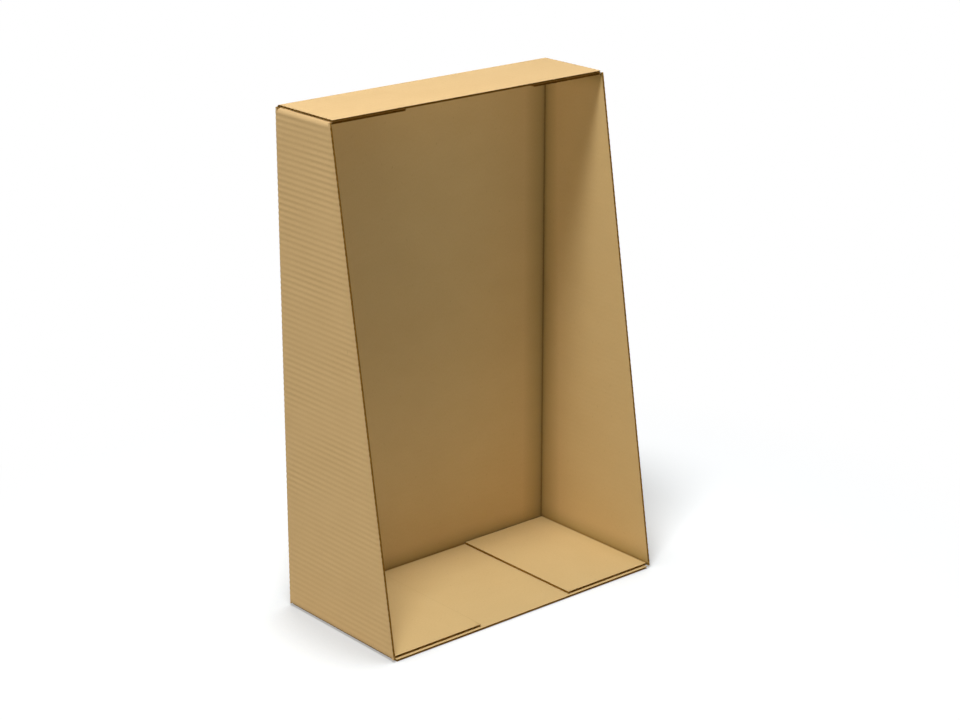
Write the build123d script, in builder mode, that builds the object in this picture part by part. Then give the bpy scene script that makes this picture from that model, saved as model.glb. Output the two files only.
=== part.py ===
# A display stand folded from one sheet of corrugated kraft board, in millimetres, Z up.
# The cross-shaped blank has the back in its middle. The side walls fold forward from the back's
# upright edges, the top and bottom panels fold forward from its other two edges, and each side wall
# carries a top and a bottom flap. The flaps fold inward first and the panels are glued over them from
# outside, so the flaps lie under the top panel and on the bottom panel.
# The origin is on the ground, at the middle of the footprint, with the open front towards -Y.
from build123d import *
import os

# The stand as a whole
HEIGHT = 582.0
WIDTH = 386.0
DEPTH_AT_FOOT = 193.0
DEPTH_AT_HEAD = 98.0

# The board, and the inside radius of its folds
BOARD = 2.5
UPRIGHT_FOLD = 1.0
HEAD_FOLD = 2.5
FOOT_FOLD = 0.7

# The panels' side edges lie this far inside the walls' outer faces
TOP_PANEL_INSET = 3.5
BOTTOM_PANEL_INSET = 4.5

# The flaps' length from the walls' outer faces, and the room before and behind them
TOP_FLAP = 102.0
BOTTOM_FLAP = 127.0
TOP_FLAP_SETBACK = 2.0
BOTTOM_FLAP_SETBACK = 3.6
FLAP_REAR_CLEARANCE = 0.5

# The glue between each flap and its panel, in lines that run from front to rear
GLUE_THICKNESS = 0.3
GLUE_WIDTH = 8.0
GLUE_LINES = 2
GLUE_PITCH = 50.0
GLUE_FROM_FREE_EDGE = 20.0
GLUE_END_MARGIN = 12.0

half_width = WIDTH / 2
wall_middle = half_width - BOARD / 2
back = DEPTH_AT_FOOT / 2
back_middle = back - BOARD / 2
foot_front = -DEPTH_AT_FOOT / 2
head_front = back - DEPTH_AT_HEAD
wall_foot = BOARD + GLUE_THICKNESS
wall_head = HEIGHT - wall_foot

# The stand's foot and head are alike, one turned upside down. Each row gives the panel's outer face,
# the direction from it into the stand, and the inside radius of the folds. Then come the panel's side
# inset and front edge, and the flaps' length and the setback of their front edges.
ENDS = (
    (0.0, 1, FOOT_FOLD, BOTTOM_PANEL_INSET, foot_front, BOTTOM_FLAP, BOTTOM_FLAP_SETBACK),
    (HEIGHT, -1, HEAD_FOLD, TOP_PANEL_INSET, head_front, TOP_FLAP, TOP_FLAP_SETBACK),
)

with BuildPart() as folded_blank:
    # The back and the side walls are one strip, bent round the two upright folds, seen in plan.
    with BuildSketch(Plane.XY.offset(wall_foot)):
        with BuildLine():
            FilletPolyline(
                (-wall_middle, foot_front),
                (-wall_middle, back_middle),
                (wall_middle, back_middle),
                (wall_middle, foot_front),
                radius=UPRIGHT_FOLD + BOARD / 2,
            )
        trace(line_width=BOARD)
    extrude(amount=wall_head - wall_foot)

    for outer_face, inward, fold, inset, panel_front, flap, setback in ENDS:
        fold_outside = fold + BOARD
        fold_middle = fold + BOARD / 2
        flap_face = outer_face + inward * wall_foot
        flap_middle = flap_face + inward * BOARD / 2
        flap_front = panel_front + setback
        flap_rear = back - BOARD - max(UPRIGHT_FOLD, fold) - FLAP_REAR_CLEARANCE
        flap_depth = flap_rear - flap_front
        panel_middle = outer_face + inward * BOARD / 2
        panel_half = half_width - inset

        # Along each flap the wall's square end gives way to a fold, and the board turns inward.
        with BuildSketch(Plane.XZ.offset(-flap_rear)):
            with Locations((fold_outside / 2 - half_width, flap_face + inward * fold_outside / 2)):
                Rectangle(fold_outside, fold_outside)
            mirror(about=Plane.YZ)
        extrude(amount=flap_depth, mode=Mode.SUBTRACT)
        with BuildSketch(Plane.XZ.offset(-flap_rear)):
            with BuildLine():
                FilletPolyline(
                    (flap - half_width, flap_middle),
                    (-wall_middle, flap_middle),
                    (-wall_middle, flap_face + inward * (fold_outside + BOARD)),
                    radius=fold_middle,
                )
            trace(line_width=BOARD)
            mirror(about=Plane.YZ)
        extrude(amount=flap_depth)

        # Along the panel the back's square end gives way to a fold, and the board turns forward.
        with BuildSketch(Plane.YZ.offset(-panel_half)):
            with Locations((back - fold_outside / 2, outer_face + inward * fold_outside / 2)):
                Rectangle(fold_outside, fold_outside)
        extrude(amount=2 * panel_half, mode=Mode.SUBTRACT)
        with BuildSketch(Plane.YZ.offset(-panel_half)):
            with BuildLine():
                FilletPolyline(
                    (panel_front, panel_middle),
                    (back_middle, panel_middle),
                    (back_middle, outer_face + inward * (fold_outside + BOARD)),
                    radius=fold_middle,
                )
            trace(line_width=BOARD)
        extrude(amount=2 * panel_half)

        # Lines of glue hold each flap to the panel.
        with BuildSketch(Plane.XY.offset(outer_face + inward * BOARD)):
            for line in range(GLUE_LINES):
                from_wall = flap - GLUE_FROM_FREE_EDGE - line * GLUE_PITCH
                with Locations((from_wall - half_width, (flap_rear + flap_front) / 2)):
                    Rectangle(GLUE_WIDTH, flap_depth - 2 * GLUE_END_MARGIN)
            mirror(about=Plane.YZ)
        extrude(amount=inward * GLUE_THICKNESS)

    # The side walls' front edges are cut on one slant, from the foot back to the head.
    with BuildSketch(Plane.YZ.offset(-half_width)):
        with BuildLine():
            Polyline((foot_front, wall_foot), (head_front, wall_head), (foot_front, wall_head), close=True)
        make_face()
    extrude(amount=WIDTH, mode=Mode.SUBTRACT)

folded_blank.part.label = "folded_blank"
os.makedirs("parts", exist_ok=True)
export_step(folded_blank.part, "parts/folded_blank.step")
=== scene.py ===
"""A display stand folded from one sheet of corrugated kraft board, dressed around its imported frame.

The CAD solid of the folded blank is replaced by the three layers that corrugated board has: an outer
liner, a fluted sheet and an inner liner. Each layer follows the same folded middle surface, so the
flutes show where the board is cut. Lengths in the classes are millimetres, and metres in the meshes.
"""

import logging
import math
from dataclasses import dataclass, field
from enum import Enum, IntEnum

import bpy
import numpy as np
from mathutils import Matrix
from numpy.typing import NDArray


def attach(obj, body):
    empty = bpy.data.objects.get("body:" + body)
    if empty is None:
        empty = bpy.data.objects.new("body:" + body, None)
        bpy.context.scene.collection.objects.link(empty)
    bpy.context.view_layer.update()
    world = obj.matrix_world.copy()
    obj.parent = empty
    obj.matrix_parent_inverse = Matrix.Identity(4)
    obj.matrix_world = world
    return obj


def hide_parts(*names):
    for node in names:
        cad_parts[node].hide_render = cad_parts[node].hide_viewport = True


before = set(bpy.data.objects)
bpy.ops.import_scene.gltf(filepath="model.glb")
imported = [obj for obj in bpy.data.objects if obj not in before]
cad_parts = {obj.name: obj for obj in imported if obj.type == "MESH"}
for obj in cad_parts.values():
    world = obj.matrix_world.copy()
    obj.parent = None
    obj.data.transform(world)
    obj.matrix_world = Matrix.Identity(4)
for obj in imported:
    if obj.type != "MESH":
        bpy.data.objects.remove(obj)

LOG = logging.getLogger("display_stand")
METRES = 0.001
NODE = "folded_blank"
BLANK_MAP = "blank"
EDGE_DISTANCE = "edge_distance"
FOLD_DISTANCE = "fold_distance"
PAINTED_CORNER_SHADE = "painted_corner_shade"
UP = np.array((0.0, 0.0, 1.0))
WHITE = (1.0, 1.0, 1.0, 1.0)

# Points, and lines of a grid, that lie closer than this are the same, in millimetres
SAME_POINT = 0.001
SAME_LINE = 0.01

# What rounding may add to a count of steps
ROUNDING = 1e-9

# Most of a noise pattern lies between these two values
NOISE_LOW, NOISE_HIGH = 0.3, 0.7

# A Mix node's colour sockets go by number, because its other sockets have the same names
MIX_FIRST, MIX_SECOND, MIX_RESULT = 6, 7, 2

Colour = tuple[float, float, float, float]
Triple = tuple[float, float, float]
Grid = NDArray[np.float64]
Quads = NDArray[np.int64]
Socket = bpy.types.NodeSocket
Material = bpy.types.Material

# What a node's input sockets get, by name or number: an output, a number, a vector or a colour
Inputs = dict[str | int, object]


class End(Enum):
    """The two ends of the stand, by the way that the blank runs over them."""

    FOOT = -1.0
    HEAD = 1.0


class Side(Enum):
    """The two side walls, by the sign of X."""

    LEFT = -1.0
    RIGHT = 1.0


class Layer(Enum):
    """The three layers of the board, from outside in."""

    OUTER_LINER = "outer_liner"
    FLUTING = "fluting"
    INNER_LINER = "inner_liner"


class Skin(IntEnum):
    """The three kinds of face that a layer has: its outer side, its inner side and its cut edges."""

    OUTER = 0
    INNER = 1
    RIM = 2


# Which sides of each layer, glued to the flutes, get the darker fluted paper as painted shade at a cut
GLUED_SIDES_IN_PAINTED_SHADE = {Layer.OUTER_LINER: (Skin.INNER,), Layer.FLUTING: (), Layer.INNER_LINER: (Skin.OUTER,)}


# ---------------------------------------------------------------------------------------- finishes


@dataclass(frozen=True)
class Nodes:
    """A short way to write a material's nodes.

    Attributes:
        material: The material or world whose nodes are written.
    """

    material: Material | bpy.types.World

    def feed(self, node: bpy.types.Node, inputs: Inputs) -> None:
        """Links a node's input sockets to outputs, or sets their values.

        Args:
            node: The node.
            inputs: What the sockets get.
        """
        for name, value in inputs.items():
            if isinstance(value, Socket):
                self.material.node_tree.links.new(value, node.inputs[name])
            else:
                node.inputs[name].default_value = value

    def add(self, kind: str, inputs: Inputs | None = None, **values: object) -> bpy.types.Node:
        """Adds a node, sets its own values and feeds its inputs.

        Args:
            kind: The node's type, such as ShaderNodeMath.
            inputs: What its input sockets get.
            **values: Its own values, by name.

        Returns:
            The new node.
        """
        node = self.material.node_tree.nodes.new(kind)
        for name, value in values.items():
            setattr(node, name, value)
        self.feed(node, inputs or {})
        return node

    def math(self, operation: str, *values: object, clamp: bool = False) -> Socket:
        """Works out an operation, such as MULTIPLY, and may hold the result from 0 to 1."""
        inputs = dict(enumerate(values))
        return self.add("ShaderNodeMath", inputs, operation=operation, use_clamp=clamp).outputs[0]

    def ramp(self, value: object, low: float, high: float, start: float, end: float) -> Socket:
        """Maps a value from low to high smoothly to the range from start to end, and holds the ends."""
        inputs = dict(enumerate((value, low, high, start, end)))
        return self.add("ShaderNodeMapRange", inputs, interpolation_type="SMOOTHSTEP").outputs[0]

    def spread(self, noise: object, start: float, end: float) -> Socket:
        """Maps the main range of a noise pattern smoothly to another range."""
        return self.ramp(noise, NOISE_LOW, NOISE_HIGH, start, end)

    def mixed(self, share: object, first: object, second: object, blend: str = "MIX") -> Socket:
        """Mixes two colours.

        Args:
            share: The share of the second colour.
            first: The first colour.
            second: The second colour.
            blend: How they blend.

        Returns:
            The mixed colour.
        """
        inputs = {0: share, MIX_FIRST: first, MIX_SECOND: second}
        node = self.add("ShaderNodeMix", inputs, data_type="RGBA", blend_type=blend)
        return node.outputs[MIX_RESULT]

    def bump(self, height: object, strength: float, distance: float) -> Socket:
        """Adds the relief of a pattern: how much of it shows, and its height in metres."""
        inputs = {"Height": height, "Strength": strength, "Distance": distance}
        return self.add("ShaderNodeBump", inputs).outputs[0]

    def attribute(self, name: str) -> Socket:
        """Reads a number that the mesh carries at its points, by its name."""
        node = self.add("ShaderNodeAttribute", attribute_type="GEOMETRY", attribute_name=name)
        return node.outputs["Fac"]

    def object_place(self) -> Socket:
        """Reads the place on the object, in metres."""
        return self.add("ShaderNodeTexCoord").outputs["Object"]

    def looked_at(self) -> Socket:
        """Tells what the camera sees from stray light.

        Returns:
            1 where the camera looks, straight, in a reflection or through glass, and 0 elsewhere.
        """
        path = self.add("ShaderNodeLightPath")
        kinds = ("Camera", "Glossy", "Transmission")
        straight, mirrored, through = (path.outputs[f"Is {kind} Ray"] for kind in kinds)
        return self.math("ADD", straight, self.math("ADD", mirrored, through), clamp=True)


def new_material(name: str) -> tuple[Material, Nodes, bpy.types.Node]:
    """Starts a node material.

    Args:
        name: The material's name.

    Returns:
        The material, its node writer and its surface shader.
    """
    material = bpy.data.materials.new(name)
    material.use_nodes = True
    shader = material.node_tree.nodes["Principled BSDF"]
    return material, Nodes(material), shader


@dataclass(frozen=True)
class Pattern:
    """A noise pattern.

    Attributes:
        cells: Cells to the metre, or those along and those across the flutes.
        octaves: How many sizes its detail has.
        finer: How strong the finer ones are.
        share: The share of the darker colour that it brings, at its least and at its most.
    """

    cells: float | tuple[float, float]
    octaves: float
    finer: float = 0.5
    share: tuple[float, float] = (0.0, 1.0)

    def build(self, nodes: Nodes, place: Socket) -> Socket:
        """Writes the pattern's nodes.

        Args:
            nodes: The material's node writer.
            place: The coordinates, in metres.

        Returns:
            The pattern's value, about 0.5.
        """
        cells = self.cells
        if isinstance(cells, tuple):
            stretched = nodes.add("ShaderNodeMapping", {"Vector": place, "Scale": (*cells, 1.0)})
            place, cells = stretched.outputs[0], 1.0
        inputs = {"Vector": place, "Scale": cells, "Detail": self.octaves, "Roughness": self.finer}
        return nodes.add("ShaderNodeTexNoise", inputs).outputs[0]


CLOUDS = Pattern((14.0, 22.0), 4.0, 0.55, (0.22, 0.42))
GRAIN = Pattern((900.0, 380.0), 3.0, 0.6, (0.0, 0.22))
FIBRES = Pattern((2600.0, 260.0), 4.0, 0.65, (-0.05, 0.25))
STRAYS = Pattern((520.0, 190.0), 2.0, 0.4, (0.0, 0.35))

# Stray fibres start to show, and show in full, where their pattern has these values
STRAYS_RANGE = (0.70, 0.78)

# The grain stretches the distance from a fold or cut by these factors, so that its tone ends raggedly
RAGGED = (0.7, 1.4)

# The grain's share in the relief, against 1 for the fibres
GRAIN_RELIEF = 1.5


@dataclass(frozen=True)
class KraftPaper:
    """Brown kraft liner: clouds, long fibres, flecks, painted shade at folds and corners, darker by
    cuts.

    Attributes:
        name: The material's name.
        light: The paper's lighter colour.
        dark: The paper's darker colour.
        fleck: The colour of stray fibres.
        painted_fold_tone: The colour that folds are multiplied by: painted shade, on the inner liner
            partly a pressed crease.
        painted_fold_reach: Half the width of the band of painted shade along a fold.
        painted_corner_tone: The colour that the paper is multiplied by where the painted shade in a
            corner is darkest.
        edge_tone: The colour that the rim beside a cut is multiplied by.
        edge_reach: How far from a cut that reaches.
        roughness: The mean roughness.
        roughness_swing: How far the grain moves it to either side.
        specular: The specular level.
        relief: How much of the fibres' relief shows, and its height in metres.
    """

    name: str
    light: Colour
    dark: Colour
    fleck: Colour
    painted_fold_tone: Colour
    painted_fold_reach: float
    painted_corner_tone: Colour = WHITE
    edge_tone: Colour = (0.90, 0.88, 0.84, 1.0)
    edge_reach: float = 0.9
    roughness: float = 0.88
    roughness_swing: float = 0.06
    specular: float = 0.25
    relief: tuple[float, float] = (0.35, 0.00006)

    def build(self) -> Material:
        """Writes the paper's nodes. The patterns follow the flat blank, whose map is in metres.

        Returns:
            The material.
        """
        material, nodes, shader = new_material(self.name)
        blank = nodes.add("ShaderNodeUVMap", uv_map=BLANK_MAP).outputs[0]
        clouds, grain, fibres, strays = (
            pattern.build(nodes, blank) for pattern in (CLOUDS, GRAIN, FIBRES, STRAYS)
        )
        tone = nodes.math("ADD", nodes.spread(clouds, *CLOUDS.share), nodes.spread(grain, *GRAIN.share))
        tone = nodes.math("ADD", tone, nodes.spread(fibres, *FIBRES.share), clamp=True)
        colour = nodes.mixed(tone, self.light, self.dark)
        colour = nodes.mixed(nodes.ramp(strays, *STRAYS_RANGE, *STRAYS.share), colour, self.fleck)

        # Painted shade in the corners between folded faces, darkest at the fold
        colour = nodes.mixed(nodes.attribute(PAINTED_CORNER_SHADE), colour, self.painted_corner_tone, "MULTIPLY")
        ragged = nodes.spread(grain, *RAGGED)
        # Painted shade along the folds, and a darker tone beside the cuts
        for name, reach, tint in (
            (FOLD_DISTANCE, self.painted_fold_reach, self.painted_fold_tone),
            (EDGE_DISTANCE, self.edge_reach, self.edge_tone),
        ):
            distance = nodes.math("MULTIPLY", nodes.attribute(name), ragged)
            colour = nodes.mixed(nodes.ramp(distance, 0.0, reach, 1.0, 0.0), colour, tint, "MULTIPLY")

        relief = nodes.math("ADD", fibres, nodes.math("MULTIPLY", grain, GRAIN_RELIEF))
        swing = (self.roughness - self.roughness_swing, self.roughness + self.roughness_swing)
        nodes.feed(shader, {
            "Base Color": colour,
            "Roughness": nodes.spread(grain, *swing),
            "Specular IOR Level": self.specular,
            "Normal": nodes.bump(relief, *self.relief),
        })
        return material


@dataclass(frozen=True)
class RawPaper:
    """Paper where it is cut, or the rough fluted sheet inside the board.

    Attributes:
        name: The material's name.
        light: The lighter colour.
        dark: The darker colour.
        roughness: The roughness.
        specular: The specular level.
        coarse: The coarse fibres.
        fine: The fine fibres.
        relief: How much of the fine fibres' relief shows, and its height in metres.
    """

    name: str
    light: Colour
    dark: Colour
    roughness: float = 0.95
    specular: float = 0.15
    coarse: Pattern = Pattern(260.0, 3.0, 0.6, (0.0, 0.5))
    fine: Pattern = Pattern(2400.0, 4.0, 0.7, (0.0, 0.5))
    relief: tuple[float, float] = (0.5, 0.00008)

    def build(self) -> Material:
        """Writes the nodes: fibres that end at the cut, coarse and fine.

        Returns:
            The material.
        """
        material, nodes, shader = new_material(self.name)
        place = nodes.object_place()
        coarse, fine = self.coarse.build(nodes, place), self.fine.build(nodes, place)
        tone = nodes.math(
            "ADD", nodes.spread(coarse, *self.coarse.share), nodes.spread(fine, *self.fine.share)
        )
        nodes.feed(shader, {
            "Base Color": nodes.mixed(tone, self.light, self.dark),
            "Roughness": self.roughness,
            "Specular IOR Level": self.specular,
            "Normal": nodes.bump(fine, *self.relief),
        })
        return material


@dataclass(frozen=True)
class DriedGlue:
    """White paper glue that has dried to a pale amber.

    Attributes:
        name: The material's name.
        light: The colour where the glue is thin.
        dark: The colour where it is thick.
        roughness: The roughness, from thin to thick.
        clouds: The slow clouds from thin to thick.
        pits: The small pits in the skin.
        relief: How much of the pits' relief shows, and its height in metres.
    """

    name: str = "dried_glue"
    light: Colour = (0.74, 0.66, 0.46, 1.0)
    dark: Colour = (0.60, 0.48, 0.28, 1.0)
    roughness: tuple[float, float] = (0.32, 0.5)
    clouds: Pattern = Pattern(120.0, 3.0)
    pits: Pattern = Pattern(900.0, 3.0)
    relief: tuple[float, float] = (0.3, 0.0001)

    def build(self) -> Material:
        """Writes the nodes.

        Returns:
            The material.
        """
        material, nodes, shader = new_material(self.name)
        place = nodes.object_place()
        clouds, pits = self.clouds.build(nodes, place), self.pits.build(nodes, place)
        thick = nodes.spread(clouds, *self.clouds.share)
        nodes.feed(shader, {
            "Base Color": nodes.mixed(thick, self.light, self.dark),
            "Roughness": nodes.spread(clouds, *self.roughness),
            "Normal": nodes.bump(pits, *self.relief),
        })
        return material


OUTER_PAPER = KraftPaper(
    name="outer_kraft_liner",
    light=(0.728, 0.506, 0.248, 1.0),
    dark=(0.651, 0.437, 0.203, 1.0),
    fleck=(0.44, 0.28, 0.115, 1.0),
    # The folds get a little painted shade
    painted_fold_tone=(0.93, 0.93, 0.94, 1.0),
    painted_fold_reach=5.0,
)
INNER_PAPER = KraftPaper(
    name="inner_kraft_liner",
    light=(0.730, 0.536, 0.258, 1.0),
    dark=(0.653, 0.464, 0.211, 1.0),
    fleck=(0.43, 0.27, 0.11, 1.0),
    # Painted shade in the folds, partly a darker pressed crease, and stronger painted shade in the
    # corners
    painted_fold_tone=(0.66, 0.60, 0.48, 1.0),
    painted_fold_reach=3.5,
    painted_corner_tone=(0.56, 0.55, 0.42, 1.0),
)
# Painted shade: the cut edges are dark brown, standing in for the shade between the cut flutes
PAINTED_SHADE_CUT_PAPER = RawPaper("cut_kraft_edge_painted_shade", (0.31, 0.150, 0.020, 1.0), (0.21, 0.096, 0.010, 1.0))
# Painted shade: the fluted paper is darkened so that the gaps between the flutes at a cut read dark
PAINTED_SHADE_FLUTED_PAPER = RawPaper("fluted_kraft_paper_painted_shade", (0.48, 0.255, 0.048, 1.0), (0.37, 0.190, 0.030, 1.0))


# -------------------------------------------------------------------------------- the folded board


@dataclass
class Patch:
    """A grid on the middle surface of the folded board. Rows run across the flutes, columns along them.

    Attributes:
        middle: Each point's place, of shape rows by columns by 3.
        outward: The direction out of the board's outer face there, of length 1.
        upward: The direction across the flutes there, of length 1.
        blank: The point's place on the flat blank, along and across the flutes.
        upright: Its distance from the nearest upright fold's middle, along the board.
        over: Its distance from the middle of the nearest fold at the foot or the head.
        cut: Its distance from the nearest cut edge.
        shade: How dark the painted shade in its corners is, from 0 to 1.
        kept: Which cells of the grid are board, of shape rows - 1 by columns - 1.
    """

    middle: Grid
    outward: Grid
    upward: Grid
    blank: Grid
    upright: Grid
    over: Grid
    cut: Grid
    shade: float
    kept: NDArray[np.bool_]


# The slow waves with which the flutes show through more or less: how much, the millimetres along and
# across the flutes in which the wave turns by a radian, and where it starts
SLOW_WAVES = ((0.22, 31.0, 17.0, 0.0), (0.16, 19.0, -23.0, 1.7), (0.10, 67.0, 7.3, 0.6))


@dataclass(frozen=True)
class Board:
    """Single-wall corrugated board: a fluted sheet between two liners.

    Attributes:
        thickness: The whole board's thickness.
        liner: Each liner's thickness.
        fluting: The fluted sheet's thickness.
        pitch: The distance from flute to flute.
        outer_dip: How far the outer liner sinks between two flutes.
        inner_dip: How far the inner liner sinks between two flutes.
        crease: How deep a fold's crease is pressed into the inner face.
        crease_reach: The crease's half width, where it is a third as deep.
    """

    thickness: float = 2.5
    liner: float = 0.35
    fluting: float = 0.25
    pitch: float = 6.5
    outer_dip: float = 0.22
    inner_dip: float = 0.03
    crease: float = 0.55
    crease_reach: float = 1.3

    def wave(self, across: Grid) -> Grid:
        """The flutes' wave: the cosine of a full turn for each pitch, 1 at the outer liner."""
        return np.cos(2.0 * np.pi * across / self.pitch)

    def unevenness(self, blank: Grid) -> Grid:
        """How strongly the flutes show through, from place to place on the blank.

        Three slow waves of unlike length are added, across each other, about a mean of 1.

        Args:
            blank: Places on the flat blank, along and across the flutes.

        Returns:
            A factor for the dips.
        """
        along, across = blank[..., 0], blank[..., 1]
        waves = (
            much * np.sin(along / length + across / breadth + start)
            for much, length, breadth, start in SLOW_WAVES
        )
        return sum(waves, 1.0)

    def faces(self, patch: Patch) -> tuple[Grid, Grid]:
        """Where the board's two faces lie, as heights from its middle.

        The outer face is half the thickness out, less a dip that is a raised cosine between the flutes'
        crests. The inner face is half the thickness in, plus its own dip, and plus the crease: a bell
        curve of the distance from the fold.

        Args:
            patch: The patch of board.

        Returns:
            The outer face's and the inner face's heights.
        """
        wave = self.wave(patch.blank[..., 1])
        strength = self.unevenness(patch.blank)
        fold = np.minimum(patch.upright, patch.over)
        pressed = self.crease * np.exp(-((fold / self.crease_reach) ** 2))
        outer = self.thickness / 2 - self.outer_dip * strength * (1.0 - wave) / 2
        inner = -self.thickness / 2 + self.inner_dip * strength * (1.0 + wave) / 2 + pressed
        return outer, inner

    def layer(self, patch: Patch, layer: Layer) -> tuple[Grid, Grid]:
        """The two faces of one layer, as places in space.

        A liner's faces lie its thickness apart. The fluted sheet's middle is the wave, as high as the
        room between the liners. Its faces lie half its thickness to either side, along the wave's own
        normal, which leans by the wave's slope. Their shift across the flutes fades out within a pitch
        of a cut.

        Args:
            patch: The patch of board.
            layer: The layer.

        Returns:
            The points of the layer's outer and inner face.
        """
        outer, inner = self.faces(patch)

        def place(height: Grid, shift: Grid | float = 0.0) -> Grid:
            """Goes out from the middle by a height, and across the flutes by a shift."""
            moved = patch.middle + patch.outward * np.asarray(height)[..., None]
            return moved + patch.upward * np.asarray(shift)[..., None]

        if layer is Layer.OUTER_LINER:
            return place(outer), place(outer - self.liner)
        if layer is Layer.INNER_LINER:
            return place(inner + self.liner), place(inner)
        across = patch.blank[..., 1]
        crest = (outer - inner - self.fluting) / 2 - self.liner
        centre = (outer + inner) / 2
        turn = 2.0 * np.pi / self.pitch
        slope = -crest * turn * np.sin(turn * across)
        lean = np.arctan(slope)
        middle = centre + crest * self.wave(across)
        half = self.fluting / 2
        rise, shift = half * np.cos(lean), half * np.sin(lean)
        shift = shift * np.clip(patch.cut / self.pitch, 0.0, 1.0)
        return place(middle + rise, -shift), place(middle - rise, shift)


def points_of(*parts: Grid | float) -> Grid:
    """Makes one grid of points of their parts, whose shapes fit together."""
    return np.stack(np.broadcast_arrays(*parts), axis=-1)


def spaced(marks: tuple[float, ...], step: float) -> Grid:
    """Numbers that pass through every mark, evenly between two marks and no more than a step apart.

    Args:
        marks: The marks, in rising order.
        step: The largest step.

    Returns:
        The numbers.
    """
    runs = [
        np.linspace(low, high, max(1, math.ceil((high - low) / step - ROUNDING)) + 1)[1:]
        for low, high in zip(marks, marks[1:])
    ]
    return np.concatenate([np.array(marks[:1]), *runs])


@dataclass(frozen=True)
class Sheet:
    """A closed mesh in the making.

    Attributes:
        points: The points, in millimetres.
        quads: Four points for each face, anticlockwise from outside.
        skin: Each face's kind, as the number of its Skin.
        blank: Each point's place on the flat blank, in metres.
        traits: What the finishes read at each point, by the attribute's name.
    """

    points: Grid
    quads: Quads
    skin: NDArray[np.int64]
    blank: Grid
    traits: dict[str, Grid]


def join(patches: list[Patch], faces: list[tuple[Grid, Grid]], painted_corner_reach: float) -> Sheet:
    """Joins patches where their middle surfaces meet, and closes the two faces with a rim at every cut.

    Points whose middles coincide become one. An edge that only one cell uses is a cut, and gets a face
    from the outer to the inner face. The painted shade in a corner falls as the square of the share of
    its reach that is left, and two corners' painted shades leave the product of what each leaves.

    Args:
        patches: The patches.
        faces: The outer and the inner face's points of each patch.
        painted_corner_reach: How far from a fold the painted corner shade reaches.

    Returns:
        The closed sheet.
    """

    def every(grids: list[Grid], width: int) -> Grid:
        """Puts the points of all patches in one list."""
        return np.concatenate([np.asarray(grid).reshape(-1, width) for grid in grids])

    middles = every([patch.middle for patch in patches], 3)
    outer, inner = every([pair[0] for pair in faces], 3), every([pair[1] for pair in faces], 3)
    blank = every([patch.blank for patch in patches], 2)

    def shaded(patch: Patch, distance: Grid) -> Grid:
        """How dark the painted shade in a corner is at a distance from its fold."""
        return patch.shade * np.clip(1.0 - distance / painted_corner_reach, 0.0, 1.0) ** 2

    traits = {
        FOLD_DISTANCE: [np.minimum(patch.upright, patch.over) for patch in patches],
        EDGE_DISTANCE: [patch.cut for patch in patches],
        # Painted shade in the corners, from both kinds of fold
        PAINTED_CORNER_SHADE: [
            1.0 - (1.0 - shaded(patch, patch.upright)) * (1.0 - shaded(patch, patch.over))
            for patch in patches
        ],
    }
    cells, start = [], 0
    for patch in patches:
        rows, columns = patch.middle.shape[:2]
        number = start + np.arange(rows * columns).reshape(rows, columns)
        corners = (number[:-1, :-1], number[1:, :-1], number[1:, 1:], number[:-1, 1:])
        cells.append(np.stack([corner[patch.kept] for corner in corners], axis=-1))
        start += rows * columns
    cells = np.concatenate(cells)
    keys = np.round(middles / SAME_POINT).astype(np.int64)
    first, same = np.unique(keys, axis=0, return_index=True, return_inverse=True)[1:]
    cells = same.reshape(-1)[cells]
    used, cells = np.unique(cells, return_inverse=True)
    cells = cells.reshape(-1, 4)
    chosen = first[used]
    count = len(chosen)

    edges = np.stack([cells, np.roll(cells, -1, axis=1)], axis=-1).reshape(-1, 2)
    cuts = edges[~np.isin(edges[:, 0] * count + edges[:, 1], edges[:, 1] * count + edges[:, 0])]
    sides = np.stack([cuts[:, 0], cuts[:, 0] + count, cuts[:, 1] + count, cuts[:, 1]], axis=-1)
    quads = np.concatenate([cells, cells[:, ::-1] + count, sides])
    return Sheet(
        points=np.concatenate([outer[chosen], inner[chosen]]),
        quads=quads,
        skin=np.repeat([Skin.OUTER, Skin.INNER, Skin.RIM], [len(cells), len(cells), len(cuts)]),
        blank=np.tile(blank[chosen] * METRES, (2, 1)),
        traits={name: np.tile(every(grids, 1)[chosen, 0], 2) for name, grids in traits.items()},
    )


def put(name: str, data: bpy.types.ID) -> bpy.types.Object:
    """Puts an object in the scene, at the origin.

    Args:
        name: The object's name.
        data: Its mesh, lamp or camera.

    Returns:
        The object.
    """
    item = bpy.data.objects.new(name, data)
    bpy.context.scene.collection.objects.link(item)
    return item


def put_mesh(name: str, points: Grid, quads: Quads) -> bpy.types.Object:
    """Makes an object from points in millimetres and faces of four points.

    Args:
        name: The object's name.
        points: The points.
        quads: The faces.

    Returns:
        The object, at the origin.
    """
    mesh = bpy.data.meshes.new(name)
    mesh.vertices.add(len(points))
    mesh.vertices.foreach_set("co", (points * METRES).astype(np.float32).ravel())
    mesh.loops.add(quads.size)
    mesh.loops.foreach_set("vertex_index", quads.astype(np.int32).ravel())
    mesh.polygons.add(len(quads))
    mesh.polygons.foreach_set("loop_start", np.arange(0, quads.size, 4, dtype=np.int32))
    mesh.update(calc_edges=True)
    mesh.validate()
    mesh.polygons.foreach_set("use_smooth", np.ones(len(mesh.polygons), bool))
    return put(name, mesh)


def stand_in_for_blank(item: bpy.types.Object) -> bpy.types.Object:
    """Hides the folded blank's CAD part, whose place the piece takes, and makes the piece ride with the
    stand.

    Args:
        item: The piece.

    Returns:
        The piece.
    """
    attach(item, "root")
    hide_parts(NODE)
    return item


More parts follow.
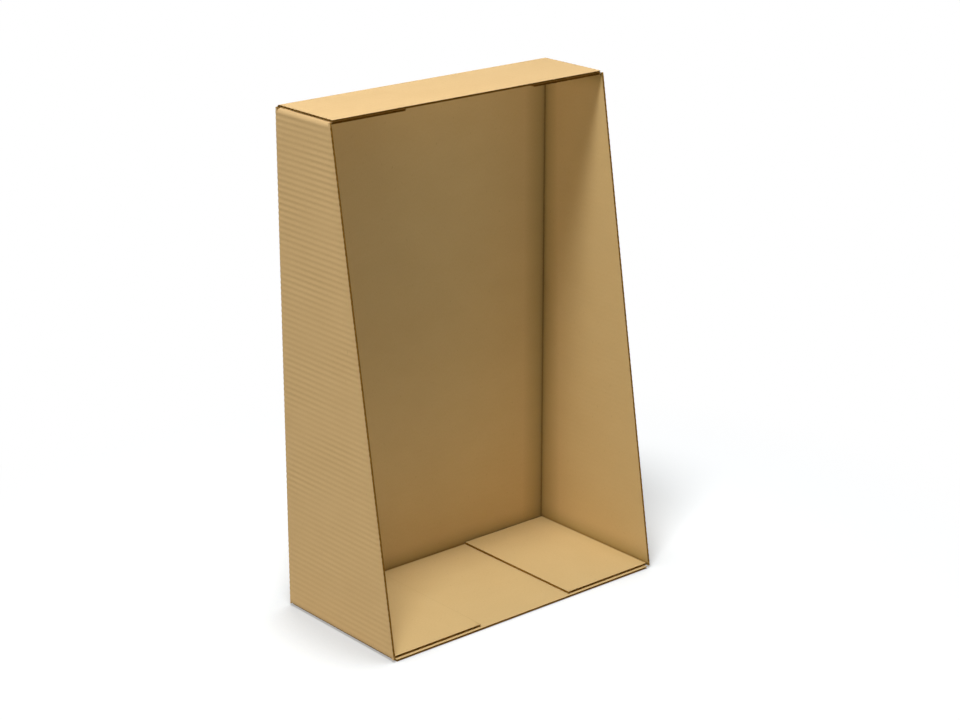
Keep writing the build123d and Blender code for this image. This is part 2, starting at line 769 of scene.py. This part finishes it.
@dataclass(frozen=True)
class FoldedEnd:
    """What folds over at one end of the stand: a panel from the back, and a flap from each wall.

    Attributes:
        end: Which end it is.
        outer_face: The height of the panel's outer face.
        fold_inside: The folds' inside radius.
        panel_half: Half the panel's width.
        depth: The panel's depth from the stand's back.
        flap: The flaps' length from the wall's outer face.
        flap_front: Where the flaps' front edges lie.
        flap_rear: Where the flaps' rear edges lie.
    """

    end: End
    outer_face: float
    fold_inside: float
    panel_half: float
    depth: float
    flap: float
    flap_front: float
    flap_rear: float

    @property
    def way(self) -> float:
        """The sign of the height in which the blank runs over this end."""
        return self.end.value


@dataclass(frozen=True)
class Density:
    """How closely a layer's grid is spaced.

    Attributes:
        rows: How many rows a flute has.
        wall_columns: How many columns lie between a flap's front and rear.
        back_columns: How many columns lie in half of the back.
    """

    rows: int
    wall_columns: int
    back_columns: int


@dataclass
class FoldedBlank:
    """The stand: one cross-shaped blank, folded. Its back and walls are a band with two upright folds.

    Attributes:
        board: The board that it is cut from.
        width: The stand's width.
        depth: The stand's depth at the foot.
        upright_inside: The upright folds' inside radius.
        glue: The gap between a flap and its panel.
        foot: What folds over at the foot.
        head: What folds over at the head.
        fold_columns: How many columns an upright fold has.
        densities: How closely each layer's grid is spaced.
        close_column: How far the last column lies from a flap's rear edge and from a panel's side edge.
        level_within: How far the corners of a level face may lie from its level.
        drawn_over: How far from a fold's middle the liner is drawn over its cut.
        painted_corner_reach: How far from a fold the painted corner shade reaches.
        level_painted_shade: How dark the painted corner shade is on the flaps and panels, against 1 on
            the walls and back.
        sharp_angle: The angle, in degrees, from which an edge between two faces is sharp.
    """

    board: Board = field(default_factory=Board)
    width: float = 386.0
    depth: float = 193.0
    upright_inside: float = 1.0
    glue: float = 0.3
    foot: FoldedEnd = FoldedEnd(
        end=End.FOOT, outer_face=0.0, fold_inside=0.7, panel_half=188.5, depth=193.0,
        flap=127.0, flap_front=-92.9, flap_rear=92.5,
    )
    head: FoldedEnd = FoldedEnd(
        end=End.HEAD, outer_face=582.0, fold_inside=2.5, panel_half=189.2, depth=98.0,
        flap=102.0, flap_front=0.5, flap_rear=91.0,
    )
    fold_columns: int = 5
    densities: dict[Layer, Density] = field(default_factory=lambda: {
        Layer.OUTER_LINER: Density(rows=8, wall_columns=7, back_columns=8),
        Layer.FLUTING: Density(rows=12, wall_columns=4, back_columns=3),
        Layer.INNER_LINER: Density(rows=8, wall_columns=7, back_columns=8),
    })
    close_column: float = 3.0
    level_within: float = 0.001
    drawn_over: float = 3.2
    # The painted corner shade's reach, and its strength on the flaps and panels
    painted_corner_reach: float = 27.0
    level_painted_shade: float = 0.25
    sharp_angle: float = 40.0

    @property
    def upright_radius(self) -> float:
        """The upright folds' radius at the board's middle."""
        return self.upright_inside + self.board.thickness / 2

    @property
    def back_half(self) -> float:
        """Half the width of the back between its upright folds."""
        return self.width / 2 - self.board.thickness - self.upright_inside

    @property
    def wall_start(self) -> float:
        """How far along the band from its middle a side wall starts."""
        return self.back_half + self.upright_radius * math.pi / 2

    @property
    def fold_line(self) -> float:
        """Where the upright folds' centres lie, from front to rear."""
        return self.depth / 2 - self.board.thickness - self.upright_inside

    def along_wall(self, y: Grid | float) -> Grid | float:
        """How far along the band from its middle a place on a side wall lies, by its Y."""
        return self.wall_start + self.fold_line - y

    def from_upright(self, along: Grid) -> Grid:
        """The distance along the board from the middle of the nearest upright fold."""
        return np.abs(np.abs(along) - (self.back_half + self.wall_start) / 2)

    def wall_end(self, end: FoldedEnd) -> float:
        """The height of the walls' raw ends, which is also that of the flaps' outer faces."""
        return end.outer_face - end.way * (self.board.thickness + self.glue)

    def bend_radius(self, end: FoldedEnd) -> float:
        """The radius of an end's folds at the board's middle."""
        return end.fold_inside + self.board.thickness / 2

    def bend_outside(self, end: FoldedEnd) -> float:
        """The radius of an end's folds at the board's outer face."""
        return end.fold_inside + self.board.thickness

    def flap_start(self, end: FoldedEnd) -> float:
        """The height at which the walls start to bend into flaps."""
        return self.wall_end(end) - end.way * self.bend_outside(end)

    def panel_start(self, end: FoldedEnd) -> float:
        """The height at which the back starts to bend into a panel."""
        return end.outer_face - end.way * self.bend_outside(end)

    def front_edge(self, height: Grid) -> Grid:
        """Where a wall's slanted front edge lies: a straight line from the foot to the head.

        Args:
            height: Heights on the wall.

        Returns:
            The edge's Y at each height.
        """
        low, high = self.wall_end(self.foot), self.wall_end(self.head)
        share = (height - low) / (high - low)
        return -self.depth / 2 + share * (self.depth - self.head.depth)

    def band_point(self, along: Grid) -> tuple[Grid, Grid, Grid, Grid]:
        """The band's middle line in plan, by the distance along it from the middle of the back.

        It runs straight to the fold, turns a quarter circle and runs straight to the front. The turn is
        the distance past the back's half width over the radius, held between nought and a right angle.

        Args:
            along: Distances along the band, negative to the left.

        Returns:
            X and Y of the points, and X and Y of the outward direction.
        """
        side, distance = np.sign(along), np.abs(along)
        radius = self.upright_radius
        turn = np.clip((distance - self.back_half) / radius, 0.0, np.pi / 2)
        forward = np.maximum(distance - self.wall_start, 0.0)
        x = side * (np.minimum(distance, self.back_half) + radius * np.sin(turn))
        y = self.fold_line + radius * np.cos(turn) - forward
        return x, y, side * np.sin(turn), np.cos(turn)

    def band(self, density: Density) -> Patch:
        """The walls and the back, up to where they bend over or are cut.

        The wall's columns fan out evenly between the flaps' edges at the foot and at the head. Cells
        beyond the start of a flap or a panel are left out.

        Args:
            density: How closely the grid is spaced.

        Returns:
            The patch.
        """
        foot, head = self.foot, self.head
        marks = (
            self.wall_end(foot), self.panel_start(foot), self.flap_start(foot),
            self.flap_start(head), self.panel_start(head), self.wall_end(head),
        )
        heights = spaced(marks, self.board.pitch / density.rows)[:, None]
        low, high = self.flap_start(foot), self.flap_start(head)
        share = np.clip((heights - low) / (high - low), 0.0, 1.0)

        def fan(end: FoldedEnd) -> Grid:
            """A flap's columns, from its front to its rear, with one close before the rear."""
            even = np.linspace(end.flap_front, end.flap_rear - self.close_column, density.wall_columns)
            return np.append(even, end.flap_rear)

        between = fan(foot) + share * (fan(head) - fan(foot))
        wall = np.concatenate([self.front_edge(heights), between], axis=1)
        turned = -np.linspace(self.wall_start, self.back_half, self.fold_columns + 1)
        beside_panels = (-head.panel_half, -foot.panel_half, -foot.panel_half + self.close_column)
        flat = np.linspace(beside_panels[-1], 0.0, density.back_columns)[1:]
        fixed = np.concatenate([turned, beside_panels, flat])
        half = np.concatenate(
            [-self.along_wall(wall), np.broadcast_to(fixed, (len(heights), len(fixed)))], axis=1
        )
        along = np.concatenate([half, -half[:, -2::-1]], axis=1)
        height = np.broadcast_to(heights, along.shape)

        x, y, out_x, out_y = self.band_point(along)
        distance = np.abs(along)
        middles = (height[:-1, :-1] + height[1:, 1:]) / 2
        sideways = (distance[:-1, :-1] + distance[:-1, 1:]) / 2
        kept = np.ones_like(middles, bool)
        over = np.full_like(distance, self.depth)
        for end in (foot, head):
            beyond_flap = (middles - self.flap_start(end)) * end.way > 0
            beyond_panel = (middles - self.panel_start(end)) * end.way > 0
            before_rear = sideways > self.along_wall(end.flap_rear)
            behind_front = sideways < self.along_wall(end.flap_front)
            kept &= ~(beyond_flap & before_rear & behind_front)
            kept &= ~(beyond_panel & (sideways < end.panel_half))
            start = np.where(distance > self.back_half, self.flap_start(end), self.panel_start(end))
            middle = self.bend_radius(end) * np.pi / 4
            over = np.minimum(over, np.abs((height - start) * end.way - middle))
        rise = self.wall_end(head) - self.wall_end(foot)
        lean = rise / math.hypot(self.depth - head.depth, rise)
        cut = np.where(distance > self.wall_start, (y - self.front_edge(height)) * lean, self.depth)
        return Patch(
            middle=points_of(x, y, height),
            outward=points_of(out_x, out_y, 0.0),
            upward=np.broadcast_to(UP, (*x.shape, 3)),
            blank=points_of(along + self.width, height + self.depth),
            upright=self.from_upright(along),
            over=over,
            cut=cut,
            # The walls and the back get the painted corner shade in full
            shade=1.0,
            kept=kept,
        )

    def folded_over(self, end: FoldedEnd, along: Grid, start: float, flat: float, step: float) -> Patch:
        """A flap or a panel, from the line where its fold starts.

        Its section across the flutes turns a quarter circle and runs straight. The turn is the distance
        from the fold's start over the radius, held at a right angle.

        Args:
            end: The end that it belongs to.
            along: Its columns, as distances along the band.
            start: The height at which the fold starts.
            flat: The length of its flat part.
            step: The largest distance between two rows.

        Returns:
            The patch.
        """
        way, radius = end.way, self.bend_radius(end)
        arc = radius * math.pi / 2
        travel = spaced((0.0, arc / 2, arc, arc + flat), step)
        travel = (travel if end.end is End.HEAD else travel[::-1])[:, None]
        turn = np.clip(travel / radius, 0.0, np.pi / 2)
        cosine, sine = np.cos(turn), np.sin(turn)
        inward = radius * (1.0 - cosine) + np.maximum(travel - arc, 0.0)
        x, y, out_x, out_y = self.band_point(along)
        shape = (len(travel), len(along))
        ends = np.minimum(np.abs(along - along[0]), np.abs(along - along[-1]))
        return Patch(
            middle=points_of(x - out_x * inward, y - out_y * inward, start + way * (radius * sine)),
            outward=points_of(out_x * cosine, out_y * cosine, way * sine),
            upward=points_of(-out_x * sine * way, -out_y * sine * way, cosine),
            blank=points_of(along + self.width, start + way * travel + self.depth),
            upright=np.broadcast_to(self.from_upright(along), shape),
            over=np.broadcast_to(np.abs(travel - arc / 2), shape),
            cut=np.minimum(arc + flat - travel, ends),
            # The flaps and panels get a weaker painted corner shade
            shade=self.level_painted_shade,
            kept=np.ones((shape[0] - 1, shape[1] - 1), bool),
        )

    def patches(self, density: Density) -> list[Patch]:
        """Every patch of the blank: the band, then each end's panel and two flaps.

        Args:
            density: How closely the grid is spaced.

        Returns:
            The patches.
        """
        band, step = self.band(density), self.board.pitch / density.rows
        columns = band.blank[:, :, 0] - self.width
        heights = band.middle[:, 0, 2]

        def line(height: float) -> Grid:
            """The band's columns in the row at a height."""
            return columns[np.argmin(np.abs(heights - height))]

        found = [band]
        for end in (self.foot, self.head):
            start, outside = self.panel_start(end), self.bend_outside(end)
            row = line(start)
            panel = row[np.abs(row) < end.panel_half + SAME_LINE]
            found.append(self.folded_over(end, panel, start, end.depth - outside, step))
            start = self.flap_start(end)
            row = line(start)
            rear, front = self.along_wall(end.flap_rear), self.along_wall(end.flap_front)
            for side in Side:
                place = row * side.value
                flap = row[(place > rear - SAME_LINE) & (place < front + SAME_LINE)]
                found.append(self.folded_over(end, flap, start, end.flap - outside, step))
        return found

    def build(self, layer: Layer, face: Material, glued: Material, rim: Material) -> bpy.types.Object:
        """Makes one layer of the folded board.

        The ends of the folds, and the walls' level ends beside the flaps, have the finish of the faces,
        because the liner is drawn over its cut where the board is creased.

        Args:
            layer: The layer.
            face: The finish of its faces.
            glued: The finish of a liner's side that is glued to the flutes, darkened as painted shade.
            rim: The finish of its cut edges, dark with painted shade.

        Returns:
            The layer's object.
        """
        patches = self.patches(self.densities[layer])
        sheet = join(patches, [self.board.layer(patch, layer) for patch in patches], self.painted_corner_reach)
        item = put_mesh(layer.value, sheet.points, sheet.quads)
        mesh = item.data
        level = np.ptp(sheet.points[sheet.quads][..., 2], axis=1) < self.level_within
        creased = sheet.traits[FOLD_DISTANCE][sheet.quads].max(axis=1) < self.drawn_over
        # Cut rims get the dark cut paper, painted shade; fold ends and level ends keep the face's
        # finish
        cut = (sheet.skin == Skin.RIM) & ~level & ~creased
        # The liners' glued sides get the darker fluted paper, painted shade seen in a cut's gaps
        hidden = np.isin(sheet.skin, GLUED_SIDES_IN_PAINTED_SHADE[layer])
        finishes = (face, glued, rim)
        index = np.select((cut, hidden), (finishes.index(rim), finishes.index(glued)))
        mesh.polygons.foreach_set("material_index", index.astype(np.int32))
        for finish in finishes:
            mesh.materials.append(finish)
        mesh.uv_layers.new(name=BLANK_MAP)
        places = sheet.blank[sheet.quads].astype(np.float32).ravel()
        mesh.uv_layers[BLANK_MAP].uv.foreach_set("vector", places)
        for name, values in sheet.traits.items():
            trait = mesh.attributes.new(name, "FLOAT", "POINT")
            trait.data.foreach_set("value", values.astype(np.float32))
        mesh.set_sharp_from_angle(angle=math.radians(self.sharp_angle))
        return stand_in_for_blank(item)


# --------------------------------------------------------------------------------------- the glue


@dataclass(frozen=True)
class GlueLines:
    """The lines of glue between the flaps and the panels, as pressed beads.

    Attributes:
        blank: The stand that they hold together.
        width: A line's width.
        lines: How many lines each flap has.
        pitch: The distance between them.
        from_free_edge: The distance of the first from the flap's free edge.
        margin: The distance of their ends from the flap's front and rear edges.
        rings: How many sections a bead has along its length.
        sides: How many points a section has, an even number.
        end_turn: Where along its half turn of cosine spacing a bead starts, so that its ends are blunt.
        end_power: The power of a parabola with which a bead shrinks towards its ends.
        mean_width: A bead's mean width, against a line's.
        wavers: How it wavers: how much, by how many radians over its length, and its seed's multiple.
        pressing: How high its section would be if nothing pressed it, against the gap.
    """

    blank: FoldedBlank
    width: float = 8.0
    lines: int = 2
    pitch: float = 50.0
    from_free_edge: float = 20.0
    margin: float = 12.0
    rings: int = 60
    sides: int = 16
    end_turn: float = 0.05
    end_power: float = 0.25
    mean_width: float = 0.86
    wavers: tuple[Triple, ...] = ((0.09, 17.0, 1.0), (0.05, 41.0, 2.0))
    pressing: float = 2.2

    def bead(self, x: float, front: float, rear: float, low: float, seed: float) -> tuple[Grid, Quads]:
        """One bead: a flattened section carried from front to rear, with small flat ends.

        The section is a circle whose height is cut to the gap and whose width wavers with two slow
        waves. Both shrink towards the ends as the fourth root of a parabola. The sections lie closer
        together there, by the cosine of an even turn. Each end is closed by faces straight across.

        Args:
            x: The bead's middle, from side to side.
            front: Where it starts.
            rear: Where it ends.
            low: The height of the face that it lies on.
            seed: Where its waver starts.

        Returns:
            The bead's points and faces.
        """
        turn = np.linspace(self.end_turn, np.pi - self.end_turn, self.rings)[:, None]
        share = (1.0 - np.cos(turn)) / 2
        angle = np.linspace(0.0, 2.0 * np.pi, self.sides, endpoint=False)
        swell = (4.0 * share * (1.0 - share)) ** self.end_power
        wavers = (much * np.sin(share * often + times * seed) for much, often, times in self.wavers)
        half_width = self.width / 2 * sum(wavers, self.mean_width) * swell
        half_gap = self.blank.glue / 2
        pressed = np.clip(self.pressing * np.sin(angle), -1.0, 1.0)
        points = points_of(
            x + half_width * np.cos(angle),
            front + (rear - front) * share,
            low + half_gap + half_gap * swell * pressed,
        ).reshape(-1, 3)
        number = np.arange(self.rings * self.sides).reshape(self.rings, self.sides)
        beyond = np.roll(number, -1, axis=1)
        around = np.stack([number[:-1], number[1:], beyond[1:], beyond[:-1]], axis=-1).reshape(-1, 4)
        step = np.arange(self.sides // 2 - 1)
        across = np.stack([step, step + 1, self.sides - 2 - step, self.sides - 1 - step], axis=-1)
        return points, np.concatenate([around, number[0][across], number[-1][across[:, ::-1]]])

    def build(self, finish: Material) -> bpy.types.Object:
        """Makes all the beads as one object.

        Args:
            finish: The glue's finish.

        Returns:
            The object.
        """
        points, quads, count = [], [], 0
        for end in (self.blank.foot, self.blank.head):
            low = end.outer_face - end.way * self.blank.board.thickness
            low = min(low, low - end.way * self.blank.glue)
            front, rear = end.flap_front + self.margin, end.flap_rear - self.margin
            for side in Side:
                for line in range(self.lines):
                    reach = end.flap - self.from_free_edge - line * self.pitch
                    x = side.value * (self.blank.width / 2 - reach)
                    bead, faces = self.bead(x, front, rear, low, seed=x)
                    points.append(bead)
                    quads.append(faces + count)
                    count += len(bead)
        item = put_mesh("glue_lines", np.concatenate(points), np.concatenate(quads))
        item.data.materials.append(finish)
        return stand_in_for_blank(item)


# -------------------------------------------------------------------------------------- the studio


@dataclass(frozen=True)
class Lamp:
    """A soft square lamp.

    Attributes:
        name: Its name.
        place: Where it hangs, in metres.
        aim: What it points at.
        size: Its side.
        power: Its power in watts.
        colour: Its colour.
    """

    name: str
    place: Triple
    aim: Triple
    size: float
    power: float
    colour: Triple

    def build(self) -> None:
        """Hangs the lamp, turned so that it faces its aim."""
        light = bpy.data.lights.new(self.name, "AREA")
        light.shape = "SQUARE"
        light.size, light.energy, light.color = self.size, self.power, self.colour
        way = np.array(self.place) - np.array(self.aim)
        back = way / np.linalg.norm(way)
        right = np.cross(UP, back)
        right /= np.linalg.norm(right)
        turned = np.eye(4)
        turned[:3, :3] = np.stack([right, np.cross(back, right), back], axis=1)
        turned[:3, 3] = self.place
        put(self.name, light).matrix_world = Matrix(turned.tolist())


@dataclass(frozen=True)
class Studio:
    """A white floor and world, soft light and the photograph's camera.

    Attributes:
        lamps: The lamps.
        sky: The world's light from all around.
        fills: More light from the world's sides, each as its direction, of length 1, and its strength.
        camera_place: The camera's place, in metres.
        camera_turn: How far it turns to the right of straight ahead, in degrees.
        camera_dip: How far it looks down, in degrees.
        camera_reach: The nearest and the furthest that it sees, in metres.
        lens: Its focal length, in millimetres, on Blender's own sensor, 36 mm wide.
        floor_half: Half the floor's side.
        floor_bounce: The colour of the light that the floor throws back on the object.
        floor_share: How much of the light on the floor shows, in each colour, so that shadows do.
        floor_glow: The rest, which is plain white.
        floor_drop: How far the floor lies under the object, in millimetres.
        contact_reach: How far from the object the floor gets painted contact shade, by how close it is,
            in metres.
        contact_samples: How many rays look for the object there.
        contact_depth: How dark the painted contact shade is where the object touches the floor.
        contact_full: The open share of the rays at which the floor is as dark as that.
        clear_from: How far from the middle of the floor shadows start to fade, in metres.
        clear_to: Where the floor is plain white.
    """

    lamps: tuple[Lamp, ...] = (
        Lamp(
            "key_lamp", place=(-0.7, -0.4, 3.0), aim=(0.0, 0.0, 0.25),
            size=0.65, power=71.5, colour=(1.0, 1.0, 0.985),
        ),
        Lamp(
            "side_lamp", place=(-2.8, -1.4, 0.28), aim=(0.0, 0.0, 0.25),
            size=1.2, power=13.8, colour=(1.0, 0.96, 0.82),
        ),
    )
    sky: Colour = (0.012, 0.012, 0.010, 1.0)
    fills: tuple[tuple[Triple, Colour], ...] = (
        ((1.0, 0.0, 0.0), (0.46, 0.46, 0.44, 1.0)),
        ((0.0, 0.958, 0.287), (0.35, 0.35, 0.34, 1.0)),
    )
    camera_place: Triple = (-1.5626, -1.8544, 1.1213)
    camera_turn: float = 40.32
    camera_dip: float = 19.18
    camera_reach: tuple[float, float] = (0.05, 100.0)
    lens: float = 85.725
    floor_half: float = 20.0
    floor_bounce: Colour = (0.80, 0.78, 0.72, 1.0)
    floor_share: Colour = (0.735, 0.765, 0.80, 1.0)
    floor_glow: float = 0.355
    floor_drop: float = 0.05
    contact_reach: float = 0.11
    contact_samples: int = 16
    contact_depth: float = 0.50
    contact_full: float = 0.5
    clear_from: float = 0.38
    clear_to: float = 0.72

    def add_camera(self) -> None:
        """Sets the camera where the photograph was taken from."""
        camera = bpy.data.cameras.new("camera")
        camera.lens = self.lens
        camera.clip_start, camera.clip_end = self.camera_reach
        item = put("camera", camera)
        item.location = self.camera_place
        tilt, turn = math.radians(90.0 - self.camera_dip), math.radians(-self.camera_turn)
        item.rotation_euler = (tilt, 0.0, turn)
        bpy.context.scene.camera = item

    def add_world(self) -> None:
        """Lights the scene from all around, with more from two sides, and shows white to the camera."""
        world = bpy.data.worlds.new("world")
        world.use_nodes = True
        bpy.context.scene.world = world
        nodes = Nodes(world)
        way = nodes.add("ShaderNodeTexCoord").outputs["Generated"]
        light: object = self.sky
        for side, colour in self.fills:
            toward = nodes.add("ShaderNodeVectorMath", {0: way, 1: side}, operation="DOT_PRODUCT")
            share = nodes.math("MAXIMUM", toward.outputs["Value"], 0.0)
            light = nodes.mixed(share, light, colour, "ADD")
        shown = nodes.mixed(nodes.looked_at(), light, WHITE)
        nodes.feed(world.node_tree.nodes["Background"], {"Color": shown})

    def add_floor(self) -> None:
        """Lays a white floor with the object's shadow and painted contact shade near it, plain white
        further out.
        """
        material, nodes, bouncing = new_material("white_floor")
        bounce = {"Base Color": self.floor_bounce, "Roughness": 1.0, "Specular IOR Level": 0.0}
        nodes.feed(bouncing, bounce)

        def blend(kind: str, *inputs: object) -> Socket:
            """Adds a shader node and gives its output."""
            return nodes.add(kind, dict(enumerate(inputs))).outputs[0]

        # Painted contact shade: the floor's colour darkens where the object is close
        reach = {"Distance": self.contact_reach}
        near = nodes.add("ShaderNodeAmbientOcclusion", reach, samples=self.contact_samples)
        touched = 1.0 - self.contact_depth
        painted_contact_shade = nodes.ramp(near.outputs["AO"], self.contact_full, 1.0, touched, 1.0)
        matt = blend("ShaderNodeBsdfDiffuse", nodes.mixed(1.0, painted_contact_shade, self.floor_share, "MULTIPLY"))
        lit = blend("ShaderNodeAddShader", matt, blend("ShaderNodeEmission", WHITE, self.floor_glow))
        apart = nodes.add("ShaderNodeVectorMath", {0: nodes.object_place()}, operation="LENGTH")
        clear = nodes.ramp(apart.outputs["Value"], self.clear_from, self.clear_to, 0.0, 1.0)
        faded = blend("ShaderNodeMixShader", clear, lit, blend("ShaderNodeEmission"))
        seen = blend("ShaderNodeMixShader", nodes.looked_at(), bouncing.outputs[0], faded)
        nodes.feed(material.node_tree.nodes["Material Output"], {"Surface": seen})

        half = self.floor_half / METRES
        corners = [(-half, -half), (half, -half), (half, half), (-half, half)]
        x, y = np.array(corners).T
        floor = put_mesh("floor", points_of(x, y, -self.floor_drop), np.arange(4)[None, :])
        floor.data.materials.append(material)

    def build(self) -> None:
        """Sets up the camera, the world, the floor and the lamps."""
        self.add_camera()
        self.add_world()
        self.add_floor()
        for lamp in self.lamps:
            lamp.build()


def main() -> None:
    """Builds the stand's layers and its glue, then the studio."""
    logging.basicConfig(level=logging.INFO, format="%(name)s: %(message)s")
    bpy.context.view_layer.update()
    stand = FoldedBlank()
    # The cut paper and the fluted paper are both darkened as painted shade
    cut, fluted = PAINTED_SHADE_CUT_PAPER.build(), PAINTED_SHADE_FLUTED_PAPER.build()
    faces = {
        Layer.OUTER_LINER: OUTER_PAPER.build(),
        Layer.FLUTING: fluted,
        Layer.INNER_LINER: INNER_PAPER.build(),
    }
    for layer, face in faces.items():
        item = stand.build(layer, face, fluted, cut)
        LOG.info("%s: %d faces", item.name, len(item.data.polygons))
    glue = GlueLines(stand).build(DriedGlue().build())
    LOG.info("%s: %d faces", glue.name, len(glue.data.polygons))

    bpy.context.scene.view_settings.view_transform = "Standard"
    Studio().build()
    bpy.context.view_layer.update()


if __name__ == "__main__":
    main()
